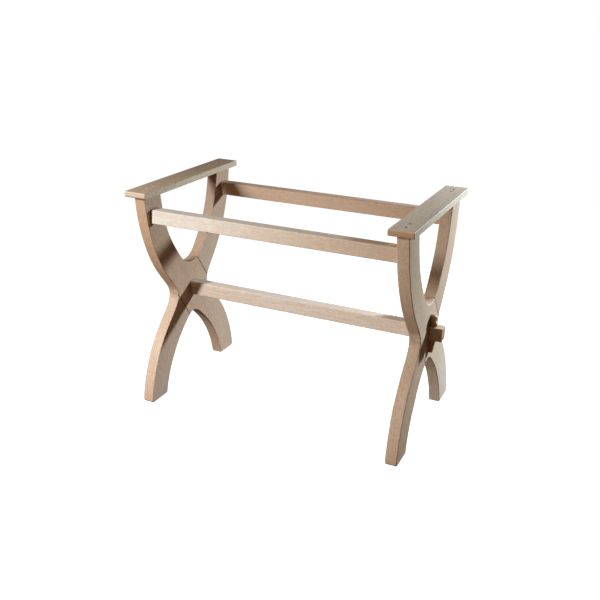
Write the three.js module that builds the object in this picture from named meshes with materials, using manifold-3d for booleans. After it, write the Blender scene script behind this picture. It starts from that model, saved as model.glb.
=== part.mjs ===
// Knock-down table base: two curved X-leg trestles, two upper rails and one
// lower stretcher whose through tenons are locked by removable wedges.
// Millimetres, +Z up. X runs along the rails, Y from front to rear, and the
// origin is on the floor under the middle of the base.
import * as THREE from 'three';
import { mergeVertices } from 'three/addons/utils/BufferGeometryUtils.js';
import Module from 'manifold-3d';

const wasm = await Module();
wasm.setup();

// ---------------------------------------------------------------- dimensions
const QUARTER = Math.PI / 2;
const GAP = 0.3;              // assembly clearance between neighbouring pieces
const CUT_OVER = 2;           // how far a cutter runs past the face it opens
const SAME_POINT = 0.05;      // outline points closer than this become one
const WELD = 1e-4;            // vertices closer than this are merged

const HEIGHT = 700;           // floor to the top of the bearers
const TRESTLE_X = 413;        // centre plane of each trestle from the middle
const LEG_T = 36;             // leg stock thickness
const LEG_HALF = LEG_T / 2;
const TRESTLE_INNER = TRESTLE_X - LEG_HALF;
const TRESTLE_OUTER = TRESTLE_X + LEG_HALF;

const BEARER_T = 19;          // top bearer thickness
const BEARER_W = 73;          // top bearer width
const BEARER_HALF = 270;      // half length, front to rear
const BEARER_END_R_TOP = 4;   // end rounding, upper corner
const BEARER_END_R_LOW = 8;   // end rounding, lower corner
const BEARER_EDGE = 1.6;      // eased long edges
const BEARER_Z = HEIGHT - BEARER_T;
const LEG_TOP = BEARER_Z - GAP;

const RAIL_W = 36;            // upper rails
const RAIL_H = 43;
const RAIL_Y = 203.5;         // centre of their section
const RAIL_Z = 616;
const RAIL_R = 3;             // corner rounding of rails and stretcher
const RAIL_END = TRESTLE_INNER - GAP;

const STRETCHER_W = 37;       // lower stretcher
const STRETCHER_H = 44;
const STRETCHER_Z = 318.6;
const TENON_W = 35;           // through tenons
const TENON_H = 41;
const TENON_R = 1.6;
const TENON_END = 473;        // tenon end, from the middle
const TENON_TOP = STRETCHER_Z + TENON_H / 2;
const TENON_LOW = STRETCHER_Z - TENON_H / 2;

const DOWEL_R = 4;
const DOWEL_LEN = 38;
const DOWEL_DZ = 11;          // each dowel above or below the rail centre
const DOWEL_EDGE_R = 1;       // chamfer at the dowel ends, across ...
const DOWEL_EDGE_L = 1.5;     // ... and along the dowel
const LEG_HOLE_DEPTH = DOWEL_LEN / 2 + 0.5;
const RAIL_HOLE_DEPTH = DOWEL_LEN / 2 + 0.8;
const ROUND_SEGMENTS = 20;    // around screws, dowels and their holes

// ------------------------------------------------------------------- helpers
function toSolid(geometry) {
  geometry.deleteAttribute('normal');
  geometry.deleteAttribute('uv');
  const welded = mergeVertices(geometry, WELD);
  return new wasm.Manifold(new wasm.Mesh({
    numProp: 3,
    vertProperties: new Float32Array(welded.attributes.position.array),
    triVerts: new Uint32Array(welded.index.array),
  }));
}

function toGeometry(solid) {
  const { vertProperties, triVerts } = solid.getMesh();
  const geometry = new THREE.BufferGeometry();
  geometry.setAttribute('position',
    new THREE.BufferAttribute(new Float32Array(vertProperties), 3));
  geometry.setIndex(new THREE.BufferAttribute(new Uint32Array(triVerts), 1));
  geometry.computeVertexNormals();
  return geometry;
}

// the solid with each cutter geometry taken away
function cut(solid, ...cutters) {
  return cutters.reduce((rest, cutter) => rest.subtract(toSolid(cutter)), solid);
}

const toVectors = (points) => points.map(([x, y]) => new THREE.Vector2(x, y));

function extrude(outline, depth, basis) {
  const geometry = new THREE.ExtrudeGeometry(new THREE.Shape(toVectors(outline)),
    { depth, bevelEnabled: false, steps: 1 });
  return geometry.applyMatrix4(basis);
}

// prism of a Y-Z outline between two X planes
const BASIS_X = new THREE.Matrix4().makeBasis(
  new THREE.Vector3(0, 1, 0), new THREE.Vector3(0, 0, 1), new THREE.Vector3(1, 0, 0));
function prismX(outline, x0, x1) {
  return extrude(outline, x1 - x0, BASIS_X).translate(x0, 0, 0);
}

// prism of an X-Z outline, centred on Y = 0
const BASIS_Y = new THREE.Matrix4().makeBasis(
  new THREE.Vector3(1, 0, 0), new THREE.Vector3(0, 0, 1), new THREE.Vector3(0, -1, 0));
function prismY(outline, halfDepth) {
  return extrude(outline, 2 * halfDepth, BASIS_Y).translate(0, halfDepth, 0);
}

function box([x0, x1], [y0, y1], [z0, z1]) {
  const geometry = new THREE.BoxGeometry(x1 - x0, y1 - y0, z1 - z0);
  return geometry.translate((x0 + x1) / 2, (y0 + y1) / 2, (z0 + z1) / 2);
}

// solid of revolution about Z from [radius, height] points
function lathe(profile) {
  return new THREE.LatheGeometry(toVectors(profile), ROUND_SEGMENTS).rotateX(QUARTER);
}

function arc(centreX, centreY, radius, start, end, steps) {
  const points = [];
  for (let i = 0; i <= steps; i++) {
    const angle = start + (end - start) * i / steps;
    points.push([centreX + radius * Math.cos(angle), centreY + radius * Math.sin(angle)]);
  }
  return points;
}

// rectangle with rounded corners, counter-clockwise
function roundRect(centreX, centreY, width, height, radius, steps) {
  const x = width / 2 - radius;
  const y = height / 2 - radius;
  return [[x, -y], [x, y], [-x, y], [-x, -y]].flatMap(([dx, dy], i) =>
    arc(centreX + dx, centreY + dy, radius, (i - 1) * QUARTER, i * QUARTER, steps));
}

// evenly spaced points on a spline through the given ones
function smooth(points, spacing) {
  const curve = new THREE.SplineCurve(toVectors(points));
  const steps = Math.max(2, Math.round(curve.getLength() / spacing));
  return curve.getSpacedPoints(steps).map(({ x, y }) => [x, y]);
}

const flip = (points) => points.map(([x, y]) => [-x, y]);
const reversed = (points) => [...points].reverse();
const distance = (from, to) => Math.hypot(to[0] - from[0], to[1] - from[1]);

// drops repeated neighbours from a closed outline
function clean(points) {
  const kept = [];
  for (const point of points) {
    if (!kept.length || distance(kept.at(-1), point) > SAME_POINT) kept.push(point);
  }
  if (distance(kept[0], kept.at(-1)) < SAME_POINT) kept.pop();
  return kept;
}

// ------------------------------------------------------------------ leg shape
// Half outline of the X frame: [distance from the centre line, height].
// The waist is the narrow part at the crossing, from low to high.
const WAIST = [[91.0, 301], [88.9, 309], [88.6, 317.5], [90.5, 330]];
const OUTER_UP = [
  WAIST[3], [98.1, 345], [113.6, 365], [134.3, 390], [157.2, 420], [179.8, 455],
  [200.2, 495], [218.2, 540], [233.1, 590], [242.6, 640], [247.2, LEG_TOP]];
const OUTER_LOW = [
  [252.6, 12], [250.1, 30], [243.4, 60], [234.2, 90], [222.4, 120], [208.0, 150],
  [190.2, 180], [167.2, 210], [140.6, 240], [116.3, 265], [99.7, 285], WAIST[0]];
const CROTCH = [[0, 408], [16, 409.6], [31, 413.6]];
const INNER_UP = [
  CROTCH[2], [43, 420.8], [53.6, 430], [65.9, 444], [81.4, 464], [99.6, 490],
  [118.0, 520], [134.8, 555], [149.4, 600], [159.2, 645], [165.2, LEG_TOP]];
const ARCH_TOP = [[0, 231.5], [13, 229.3], [24, 223.6]];
const ARCH_SIDE = [
  ARCH_TOP[2], [34, 216.2], [43.6, 208], [60.8, 192], [80.9, 172], [101.6, 148],
  [122.6, 118], [139.4, 88], [153.0, 59], [163.0, 31], [168.6, 10]];

// distance between the spline points of each curve
const SPACING = {
  waist: 6, outerUp: 15, outerLow: 14, crotch: 6, innerUp: 15, archTop: 5, archSide: 13,
};

const TOE_R = 9;              // rounding at the outer end of each foot
const TOE_OUT = 0.6;          // its side, out from the start of OUTER_LOW
const HEEL_R = 7;             // rounding at the inner end of each foot
const HEEL_OUT = 0.4;         // its side, out from the end of ARCH_SIDE
const FOOT_STEPS = 4;

// the two seams are the straight leg edges across the crossing, as [start, end]
const UPPER_SEAM = [CROTCH[2], WAIST[3]];
const LOWER_SEAM = flip([WAIST[2], ARCH_TOP[2]]);
const SEAM_RUN = 150;         // housing cutter run past each seam end
const SEAM_REACH = 0.1;       // waist points this far below the seam still count

// One leg runs from the top at the front to the floor at the rear. In the
// crossing its two edges are the seams, so the other leg is its mirror image.
function legOutline() {
  const waist = smooth(WAIST, SPACING.waist);
  const waistAboveSeam = waist.filter(([, z]) => z > LOWER_SEAM[0][1] - SEAM_REACH);
  const crotch = smooth(CROTCH, SPACING.crotch);
  const archTop = smooth(ARCH_TOP, SPACING.archTop);
  const toe = arc(OUTER_LOW[0][0] - TOE_R + TOE_OUT, TOE_R, TOE_R,
    -QUARTER, 0, FOOT_STEPS);
  const heel = arc(ARCH_SIDE.at(-1)[0] + HEEL_R + HEEL_OUT, HEEL_R, HEEL_R,
    2 * QUARTER, 3 * QUARTER, FOOT_STEPS);
  return clean([
    ...flip(reversed(smooth(OUTER_UP, SPACING.outerUp))),  // front edge, top to waist
    ...flip(reversed(waistAboveSeam)),
    ...LOWER_SEAM,
    ...flip(reversed(archTop)), ...archTop,
    ...smooth(ARCH_SIDE, SPACING.archSide),                // down to the rear foot
    ...heel, ...toe,
    ...smooth(OUTER_LOW, SPACING.outerLow),                // up the rear edge
    ...waist,
    UPPER_SEAM[0],                                         // upper seam
    ...reversed(crotch), ...flip(crotch),
    ...flip(smooth(INNER_UP, SPACING.innerUp)),            // up to the top at the front
  ]);
}

// band between the two seams, widened by the clearance and run on past the
// crossing; it cuts the housing in the other leg
function seamBand() {
  const shiftedSeam = ([start, end], side) => {
    const length = distance(start, end);
    const alongY = (end[0] - start[0]) / length;
    const alongZ = (end[1] - start[1]) / length;
    const offset = ([y, z], run) => [
      y + alongY * run + side * alongZ * GAP,
      z + alongZ * run - side * alongY * GAP];
    return [offset(start, -SEAM_RUN), offset(end, SEAM_RUN)];
  };
  return [...shiftedSeam(UPPER_SEAM, -1), ...reversed(shiftedSeam(LOWER_SEAM, 1))];
}

// ---------------------------------------------------------- screws and dowels
const SCREW_HEAD_R = 4;
const SCREW_R = 2.1;
const SCREW_LEN = 54;
const SCREW_TOP = HEIGHT - 0.8;           // heads sit just below the bearer top
const SCREW_POINT_LEN = 6;
const SCREW_SLOT = { half: 2.1, halfWidth: 0.45, depth: 1.6 };   // cross recess
const SCREW_YS = { left: [-213, -181, 190, 222], right: [-229, -195, 197, 227] };

// clearance: added to the radii and the tip; tipRatio, tipRise: radius and
// height of the blunt tip; coneDepth, rimDepth: lower and upper edge of the
// head's cone below the head; top: upper end
function screwProfile({ clearance, tipRatio, tipRise, coneDepth, rimDepth, top }) {
  const headR = SCREW_HEAD_R + clearance;
  const shankR = SCREW_R + clearance;
  const tip = SCREW_TOP - SCREW_LEN - clearance;
  return [
    [0, tip], [shankR * tipRatio, tip + tipRise], [shankR, tip + SCREW_POINT_LEN],
    [shankR, SCREW_TOP - coneDepth], [headR, SCREW_TOP - rimDepth], [headR, top], [0, top]];
}

const SCREW_PROFILE = screwProfile({
  clearance: 0, tipRatio: 0.35, tipRise: 0.6, coneDepth: 3, rimDepth: 0.45, top: SCREW_TOP,
});
const SCREW_HOLE_PROFILE = screwProfile({
  clearance: GAP, tipRatio: 0.4, tipRise: 0.4, coneDepth: 3.2, rimDepth: 0.6,
  top: HEIGHT + CUT_OVER,
});

const screwHole = (y) => lathe(SCREW_HOLE_PROFILE).translate(0, y, 0);

function makeScrew(y) {
  const long = [-SCREW_SLOT.half, SCREW_SLOT.half];
  const narrow = [-SCREW_SLOT.halfWidth, SCREW_SLOT.halfWidth];
  const deep = [SCREW_TOP - SCREW_SLOT.depth, SCREW_TOP + CUT_OVER];
  const solid = cut(toSolid(lathe(SCREW_PROFILE)),
    box(long, narrow, deep), box(narrow, long, deep));
  return toGeometry(solid).translate(0, y, 0);
}

// hole along X from its open mouth to its blind end
function dowelHole(mouthX, blindX, y, z) {
  const radius = DOWEL_R + GAP;
  const geometry = new THREE.CylinderGeometry(
    radius, radius, Math.abs(blindX - mouthX), ROUND_SEGMENTS);
  return geometry.rotateZ(QUARTER).translate((mouthX + blindX) / 2, y, z);
}

function makeDowel() {
  const end = DOWEL_LEN / 2;
  const endR = DOWEL_R - DOWEL_EDGE_R;
  const shoulder = end - DOWEL_EDGE_L;
  return lathe([
    [0, -end], [endR, -end], [DOWEL_R, -shoulder],
    [DOWEL_R, shoulder], [endR, end], [0, end]]).rotateY(QUARTER);
}

// ------------------------------------------------------------------ materials
function wood(color, roughness = 0.62) {
  return new THREE.MeshStandardMaterial({ color, roughness, metalness: 0 });
}
const MATERIALS = {
  legA: wood(0xd0ad8a),
  legB: wood(0xcba682),
  bearer: wood(0xb7a88d),
  rail: wood(0xe2cdb2),
  stretcher: wood(0xdcc3a6),
  wedge: wood(0xc39a72),
  dowel: wood(0xd9bd97, 0.7),
  screw: new THREE.MeshStandardMaterial({ color: 0xb9b6ac, roughness: 0.35, metalness: 1 }),
};

function addMesh(name, geometry, material, parent) {
  const mesh = new THREE.Mesh(geometry, material);
  mesh.name = name;
  parent.add(mesh);
  return mesh;
}

// ------------------------------------------------------------------- trestles
const OUTLINE_A = legOutline();
const BAND_A = seamBand();

// Leg a has its top at the front and is whole on the +X half of the crossing;
// leg b has its top at the rear and is whole on the -X half.
// side is -1 for the left trestle and 1 for the right one.
function makeLeg(isA, side, screwYs) {
  const outline = isA ? OUTLINE_A : flip(OUTLINE_A);
  const housing = isA
    ? prismX(flip(BAND_A), -LEG_HALF - CUT_OVER, GAP / 2)
    : prismX(BAND_A, -GAP / 2, LEG_HALF + CUT_OVER);
  const mortiseHalf = TENON_W / 2 + GAP;
  const mortise = box([-LEG_HALF - CUT_OVER, LEG_HALF + CUT_OVER],
    [-mortiseHalf, mortiseHalf], [TENON_LOW - GAP, TENON_TOP + GAP]);
  // rail dowels enter from the face towards the middle of the base
  const innerFace = -side * LEG_HALF;
  const dowelHoles = [-DOWEL_DZ, DOWEL_DZ].map((dz) => dowelHole(
    innerFace - side * CUT_OVER, innerFace + side * LEG_HOLE_DEPTH,
    isA ? -RAIL_Y : RAIL_Y, RAIL_Z + dz));
  const screwHoles = screwYs.filter((y) => (isA ? y < 0 : y > 0)).map(screwHole);
  return toGeometry(cut(toSolid(prismX(outline, -LEG_HALF, LEG_HALF)),
    housing, mortise, ...dowelHoles, ...screwHoles));
}

// the side profile with rounded ends meets the section with eased edges
function makeBearer(screwYs) {
  const topY = BEARER_HALF - BEARER_END_R_TOP;
  const topZ = HEIGHT - BEARER_END_R_TOP;
  const lowY = BEARER_HALF - BEARER_END_R_LOW;
  const lowZ = BEARER_Z + BEARER_END_R_LOW;
  const profile = [
    ...arc(lowY, lowZ, BEARER_END_R_LOW, -QUARTER, 0, 4),
    ...arc(topY, topZ, BEARER_END_R_TOP, 0, QUARTER, 3),
    ...arc(-topY, topZ, BEARER_END_R_TOP, QUARTER, 2 * QUARTER, 3),
    ...arc(-lowY, lowZ, BEARER_END_R_LOW, 2 * QUARTER, 3 * QUARTER, 4)];
  const section = roundRect(0, HEIGHT - BEARER_T / 2, BEARER_W, BEARER_T, BEARER_EDGE, 2);
  const blank = toSolid(prismX(profile, -BEARER_W / 2, BEARER_W / 2))
    .intersect(toSolid(prismY(section, BEARER_HALF + CUT_OVER)));
  return toGeometry(cut(blank, ...screwYs.map(screwHole)));
}

function makeTrestle(tag, side) {
  const screwYs = SCREW_YS[tag];
  const trestle = new THREE.Group();
  trestle.position.set(side * TRESTLE_X, 0, 0);
  addMesh(`${tag}_leg_a`, makeLeg(true, side, screwYs), MATERIALS.legA, trestle);
  addMesh(`${tag}_leg_b`, makeLeg(false, side, screwYs), MATERIALS.legB, trestle);
  addMesh(`${tag}_top_bearer`, makeBearer(screwYs), MATERIALS.bearer, trestle);
  screwYs.forEach((y, i) => {
    const name = `${tag}_${y < 0 ? 'front' : 'rear'}_bearer_screw_${i % 2 + 1}`;
    addMesh(name, makeScrew(y), MATERIALS.screw, trestle);
  });
  return trestle;
}

// ------------------------------------------------- rails, stretcher and wedges
// an upper rail and the two dowels at each of its ends
function addRail(tag, y, parent) {
  const section = roundRect(y, RAIL_Z, RAIL_W, RAIL_H, RAIL_R, 3);
  let rail = toSolid(prismX(section, -RAIL_END, RAIL_END));
  for (const [end, side] of [['left', -1], ['right', 1]]) {
    for (const [level, dz] of [['lower', -DOWEL_DZ], ['upper', DOWEL_DZ]]) {
      const z = RAIL_Z + dz;
      rail = cut(rail, dowelHole(
        side * (RAIL_END + CUT_OVER), side * (RAIL_END - RAIL_HOLE_DEPTH), y, z));
      addMesh(`${tag}_rail_dowel_${end}_${level}`, makeDowel(), MATERIALS.dowel, parent)
        .position.set(side * TRESTLE_INNER, y, z);
    }
  }
  addMesh(`${tag}_upper_rail`, toGeometry(rail), MATERIALS.rail, parent);
}

const WEDGE_T = 12;           // wedge thickness, front to rear
const WEDGE_AT_LOW = 19.9;    // outer edge of the wedge at the tenon's underside
const WEDGE_AT_TOP = 21.2;    // and at its top
const SLOT_INSET = 3.5;       // slot start, inside the trestle's outer face
const SLOT_TAPER = 0.06;      // taper of the slot's outer end over CUT_OVER

// wedge outline: [distance beyond the trestle's outer face, height]
const WEDGE = [
  [GAP, 254.6], [1.3, 253.4], [11.3, 253.4], [12.2, 254.2],
  [WEDGE_AT_LOW, TENON_LOW], [WEDGE_AT_TOP, TENON_TOP],
  [21.5, 345.4], [20.9, 348.6], [19.3, 350.9], [17.9, 352.9], [17.4, 354.9],
  [18.0, 356.9], [19.3, 358.9], [20.3, 361.4], [20.5, 364.4], [19.9, 367.4],
  [18.3, 370.2], [15.8, 372.3], [12.6, 373.7], [9.0, 374.3], [5.2, 374.1],
  [2.2, 373.0], [GAP, 370.8]];

// slot through the tenon for the wedge, in the same columns
const SLOT = [
  [-SLOT_INSET, TENON_LOW - CUT_OVER],
  [WEDGE_AT_LOW + 2 * GAP - SLOT_TAPER, TENON_LOW - CUT_OVER],
  [WEDGE_AT_TOP + 2 * GAP + SLOT_TAPER, TENON_TOP + CUT_OVER],
  [-SLOT_INSET, TENON_TOP + CUT_OVER]];

function beyondTrestle(outline, side, halfDepth) {
  return prismY(outline.map(([out, z]) => [side * (TRESTLE_OUTER + out), z]), halfDepth);
}

function makeStretcher() {
  const body = roundRect(0, STRETCHER_Z, STRETCHER_W, STRETCHER_H, RAIL_R, 3);
  const tenon = roundRect(0, STRETCHER_Z, TENON_W, TENON_H, TENON_R, 2);
  const blank = toSolid(prismX(body, -RAIL_END, RAIL_END))
    .add(toSolid(prismX(tenon, -TENON_END, TENON_END)));
  const slots = [-1, 1].map((side) => beyondTrestle(SLOT, side, WEDGE_T / 2 + GAP));
  return toGeometry(cut(blank, ...slots));
}

// ------------------------------------------------------------------- assembly
const base = new THREE.Group();
base.name = 'x_leg_table_base';

base.add(makeTrestle('left', -1), makeTrestle('right', 1));
addRail('front', -RAIL_Y, base);
addRail('rear', RAIL_Y, base);
addMesh('lower_stretcher', makeStretcher(), MATERIALS.stretcher, base);
for (const [tag, side] of [['left', -1], ['right', 1]]) {
  addMesh(`${tag}_wedge`, beyondTrestle(WEDGE, side, WEDGE_T / 2), MATERIALS.wedge, base);
}

export default base;
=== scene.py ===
import math

import bmesh
import bpy
import numpy as np
from mathutils import Matrix, Vector


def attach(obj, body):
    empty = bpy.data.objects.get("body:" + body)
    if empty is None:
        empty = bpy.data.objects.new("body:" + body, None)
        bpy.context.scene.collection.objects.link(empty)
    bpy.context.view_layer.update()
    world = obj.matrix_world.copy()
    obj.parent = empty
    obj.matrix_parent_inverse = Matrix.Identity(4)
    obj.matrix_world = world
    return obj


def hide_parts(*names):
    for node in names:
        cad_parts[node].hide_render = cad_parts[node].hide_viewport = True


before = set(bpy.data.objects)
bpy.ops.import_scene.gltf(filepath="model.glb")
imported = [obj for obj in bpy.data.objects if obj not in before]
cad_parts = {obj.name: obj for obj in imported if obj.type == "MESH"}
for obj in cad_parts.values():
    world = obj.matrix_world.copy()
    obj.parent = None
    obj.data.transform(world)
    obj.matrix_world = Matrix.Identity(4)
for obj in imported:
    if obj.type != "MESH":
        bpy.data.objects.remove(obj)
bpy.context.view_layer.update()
MM = 0.001
QUARTER = math.pi / 2
SIDES = {-1: "left", 1: "right"}

# ------------------------------------------------------------------ dimensions
GAP = 0.3                                   # clearance in every joint
TRESTLE_X, LEG_THICK, HEIGHT = 413.0, 36.0, 700.0
BEARER_THICK, BEARER_WIDTH, BEARER_HALF = 19.0, 73.0, 270.0
BEARER_LOW = HEIGHT - BEARER_THICK
BEARER_TOP_R, BEARER_LOW_R = 4.0, 8.0       # end corners seen from the side
LEG_HALF = LEG_THICK / 2
LEG_TOP = BEARER_LOW - GAP

# Leg profile, (y, z) on the +Y side; leg a takes the upper curves mirrored to -Y
OUTER_UP = [(90.5, 330), (98.1, 345), (113.6, 365), (134.3, 390), (157.2, 420),
            (179.8, 455), (200.2, 495), (218.2, 540), (233.1, 590), (242.6, 640),
            (247.2, LEG_TOP)]
WAIST = [(91.0, 301), (88.9, 309), (88.6, 317.5), (90.5, 330)]
OUTER_LOW = [(252.6, 12), (250.1, 30), (243.4, 60), (234.2, 90), (222.4, 120),
             (208.0, 150), (190.2, 180), (167.2, 210), (140.6, 240), (116.3, 265),
             (99.7, 285), (91.0, 301)]
INNER_UP = [(0, 408), (16, 409.6), (31, 413.6), (43, 420.8), (53.6, 430),
            (65.9, 444), (81.4, 464), (99.6, 490), (118.0, 520), (134.8, 555),
            (149.4, 600), (159.2, 645), (165.2, LEG_TOP)]
ARCH = [(0, 231.5), (13, 229.3), (24, 223.6), (34, 216.2), (43.6, 208), (60.8, 192),
        (80.9, 172), (101.6, 148), (122.6, 118), (139.4, 88), (153.0, 59),
        (163.0, 31), (168.6, 10)]
TOE_R, HEEL_R = 9.0, 7.0
# ends of the joint lines where the two legs cross
SEAM_TOP, SEAM_WAIST_UP = INNER_UP[2], OUTER_UP[0]
SEAM_WAIST_LOW, SEAM_LOW = WAIST[2], ARCH[2]
# face rounding along each kind of outline edge
LEG_RADIUS = {"arris": 2.2, "seam": 1.2, "foot": 3.6, "toe": 3.6, "top": 0.6}
SEAM_INSET = 0.7

RAIL_WIDTH, RAIL_HEIGHT, RAIL_R, RAIL_Y, RAIL_Z = 36.0, 43.0, 3.0, 203.5, 616.0
FACE = TRESTLE_X + LEG_HALF                 # outer face of a trestle
RAIL_END = TRESTLE_X - LEG_HALF - GAP
STRETCHER_WIDTH, STRETCHER_HEIGHT, STRETCHER_Z = 37.0, 44.0, 318.6
TENON_WIDTH, TENON_HEIGHT, TENON_R, TENON_END = 35.0, 41.0, 1.6, 473.0
TENON_LOW = STRETCHER_Z - TENON_HEIGHT / 2
TENON_TOP = STRETCHER_Z + TENON_HEIGHT / 2
DOWEL_R, DOWEL_LEN, DOWEL_DZ = 4.0, 38.0, 11.0

# Wedge profile, (distance out from the trestle's face, z)
WEDGE_THICK = 12.0
WEDGE_LOW_OUT, WEDGE_TOP_OUT = 19.9, 21.2   # at the tenon's lower and upper faces
WEDGE_FOOT = [(GAP, 254.6), (0.6, 253.8), (1.3, 253.4), (11.3, 253.4), (11.9, 253.7),
              (12.2, 254.2)]
WEDGE_HEAD = [(WEDGE_TOP_OUT, TENON_TOP), (21.5, 345.4), (20.9, 348.6), (19.3, 350.9),
              (17.9, 352.9), (17.4, 354.9), (18.0, 356.9), (19.3, 358.9), (20.3, 361.4),
              (20.5, 364.4), (19.9, 367.4), (18.3, 370.2), (15.8, 372.3), (12.6, 373.7),
              (9.0, 374.3), (5.2, 374.1), (2.2, 373.0), (GAP, 370.8)]

HEAD_R, SHANK_R, SCREW_LEN, SCREW_SINK = 4.0, 2.1, 54.0, 0.8
SCREW_TOP = HEIGHT - SCREW_SINK
SCREW_Y = {-1: [-213, -181, 190, 222], 1: [-229, -195, 197, 227]}
THREAD_PITCH, CORE_R, THREAD_POINT, THREAD_DEPTH = 2.6, 1.45, 7.0, 20   # depth: below the head


# ------------------------------------------------------------------ 2-D curves
def spline(points, spacing):
    """Uniform Catmull-Rom through the points, at equal steps along its length."""
    points = np.array(points, float)
    count = len(points)
    curve = []
    for i in range(count - 1):
        start, end = points[i], points[i + 1]
        start_slope = (end - points[max(i - 1, 0)]) / 2
        end_slope = (points[min(i + 2, count - 1)] - start) / 2
        for k in range(60):
            t = k / 60
            curve.append((2 * start - 2 * end + start_slope + end_slope) * t ** 3
                         + (-3 * start + 3 * end - 2 * start_slope - end_slope) * t * t
                         + start_slope * t + start)
    curve.append(points[-1])
    curve = np.array(curve)
    run = np.concatenate([[0], np.cumsum(np.linalg.norm(np.diff(curve, axis=0), axis=1))])
    steps = max(2, int(round(run[-1] / spacing)))
    stops = np.linspace(0, run[-1], steps + 1)
    return [(float(a), float(b)) for a, b in
            zip(np.interp(stops, run, curve[:, 0]), np.interp(stops, run, curve[:, 1]))]


def straight(start, end, spacing, lead=0.0):
    """Points from start to end; lead adds one more point that far from each end."""
    start, end = np.array(start, float), np.array(end, float)
    length = np.linalg.norm(end - start)
    steps = max(1, int(round(length / spacing)))
    extra = [lead / length, 1 - lead / length] if lead else []
    stops = sorted(set([k / steps for k in range(steps + 1)] + extra))
    return [tuple(start + (end - start) * t) for t in stops]


def arc(x, y, radius, start, end, steps):
    angles = [start + (end - start) * i / steps for i in range(steps + 1)]
    return [(x + radius * math.cos(a), y + radius * math.sin(a)) for a in angles]


def mirror(points):
    return [(-a, b) for a, b in points]


def clean(points, tags):
    """Drop repeated points; a dropped point still passes on a tag other than arris or toe."""
    kept, kept_tags = [], []
    for point, tag in zip(points, tags):
        if kept and math.dist(point, kept[-1]) < 0.05:
            if tag not in ("arris", "toe"):
                kept_tags[-1] = tag
            continue
        kept.append(point)
        kept_tags.append(tag)
    if math.dist(kept[0], kept[-1]) < 0.05:
        kept.pop()
        kept_tags.pop()
    return kept, kept_tags


def round_rect(width, height, radius):
    """Rounded rectangle with one more point on the flat beside each end of its arcs."""
    lead = 0.6
    x, y = width / 2 - radius, height / 2 - radius
    outline = []
    for cx, cy, turn in ((x, -y, -QUARTER), (x, y, 0), (-x, y, QUARTER), (-x, -y, 2 * QUARTER)):
        corner = arc(cx, cy, radius, turn, turn + QUARTER, 6)
        first, last = corner[0], corner[-1]
        end = turn + QUARTER
        outline.append((first[0] + math.sin(turn) * lead, first[1] - math.cos(turn) * lead))
        outline += corner
        outline.append((last[0] - math.sin(end) * lead, last[1] + math.cos(end) * lead))
    return outline


# ------------------------------------------------------------------ 3-D solids
def bands(ring_count, n):
    """Quads between neighbouring rings of n points."""
    return [(k * n + i, k * n + (i + 1) % n, (k + 1) * n + (i + 1) % n, (k + 1) * n + i)
            for k in range(ring_count - 1) for i in range(n)]


def loft(rings):
    """Closed solid through rings of the same point count."""
    n = len(rings[0])
    verts = np.concatenate([np.array(ring, float) for ring in rings])
    last = (len(rings) - 1) * n
    caps = [tuple(range(n - 1, -1, -1)), tuple(last + i for i in range(n))]
    return verts, bands(len(rings), n) + caps


def offset_loop(outline, offsets):
    """The closed outline moved inwards, edge i by offsets[i], to the offset lines' crossings."""
    points = np.array(outline, float)
    along = np.roll(points, -1, 0) - points
    along /= np.linalg.norm(along, axis=1)[:, None]
    inward = np.stack([-along[:, 1], along[:, 0]], 1)
    moved = []
    for i, point in enumerate(points):
        last, this = inward[i - 1], inward[i]
        last_off, this_off = offsets[i - 1], offsets[i]
        det = last[0] * this[1] - last[1] * this[0]
        if abs(det) > 0.17:
            step = np.array([(last_off * this[1] - this_off * last[1]) / det,
                             (last[0] * this_off - this[0] * last_off) / det])
        else:                               # nearly parallel edges
            both = last + this
            step = both / np.dot(both, both) * (last_off + this_off)
        moved.append(point + step)
    return np.array(moved)


def plate(outline, low, high, radius, inset=0.0, segs=5, support=0.6):
    """Solid from low to high over the outline, its face edges rounded by radius[i] on edge i.

    inset moves each edge inwards; support is the width of a strip beside each rounding."""
    radius = np.array(radius, float)
    inset = np.zeros(len(outline)) + inset
    depth = np.maximum(radius, np.roll(radius, 1))      # of the rounding at each point
    steps = [(inset + radius + support, 0 * depth), (inset + radius, 0 * depth)]
    for k in range(segs - 1, -1, -1):
        angle = QUARTER * k / segs
        steps.append((inset + radius * (1 - math.cos(angle)), depth * (1 - math.sin(angle))))
    steps.append((inset, depth + support))
    loops = [(offset_loop(outline, offsets), sink) for offsets, sink in steps]
    return loft([np.column_stack([loop, low + sink]) for loop, sink in loops]
                + [np.column_stack([loop, high - sink]) for loop, sink in loops[::-1]])


def bar(end_stations, z, y):
    """Bar along X, alike at both ends; each station is (x, width, height, corner radius)."""
    section = end_stations[-1][1:]
    middle = [(x, *section) for x in np.linspace(-RAIL_END + 25, RAIL_END - 25, 30)]
    far = [(-x, *shape) for x, *shape in end_stations[::-1]]
    return loft([[(x, y + a, z + b) for a, b in round_rect(*shape)]
                 for x, *shape in end_stations + middle + far])


def shoulder(width, height):
    """Stations of a bar's softened end where it meets the leg."""
    soft = 0.5
    return [(-RAIL_END, width - 2 * soft, height - 2 * soft, RAIL_R - soft),
            (-RAIL_END + soft, width, height, RAIL_R),
            (-RAIL_END + soft + 0.6, width, height, RAIL_R)]


def to_object(name, verts, faces, material=None, place=None):
    """Mesh object from millimetre points; place puts them in the frame's axes."""
    mesh = bpy.data.meshes.new(name)
    mesh.from_pydata([tuple(map(float, p)) for p in np.array(verts, float) * MM], [],
                     [tuple(map(int, face)) for face in faces])
    if place is not None:
        mesh.transform(place)
    mesh.validate()
    edit = bmesh.new()
    edit.from_mesh(mesh)
    bmesh.ops.recalc_face_normals(edit, faces=edit.faces)
    edit.to_mesh(mesh)
    edit.free()
    obj = bpy.data.objects.new(name, mesh)
    bpy.context.scene.collection.objects.link(obj)
    if material is not None:
        mesh.materials.append(material)
    return obj


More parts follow.
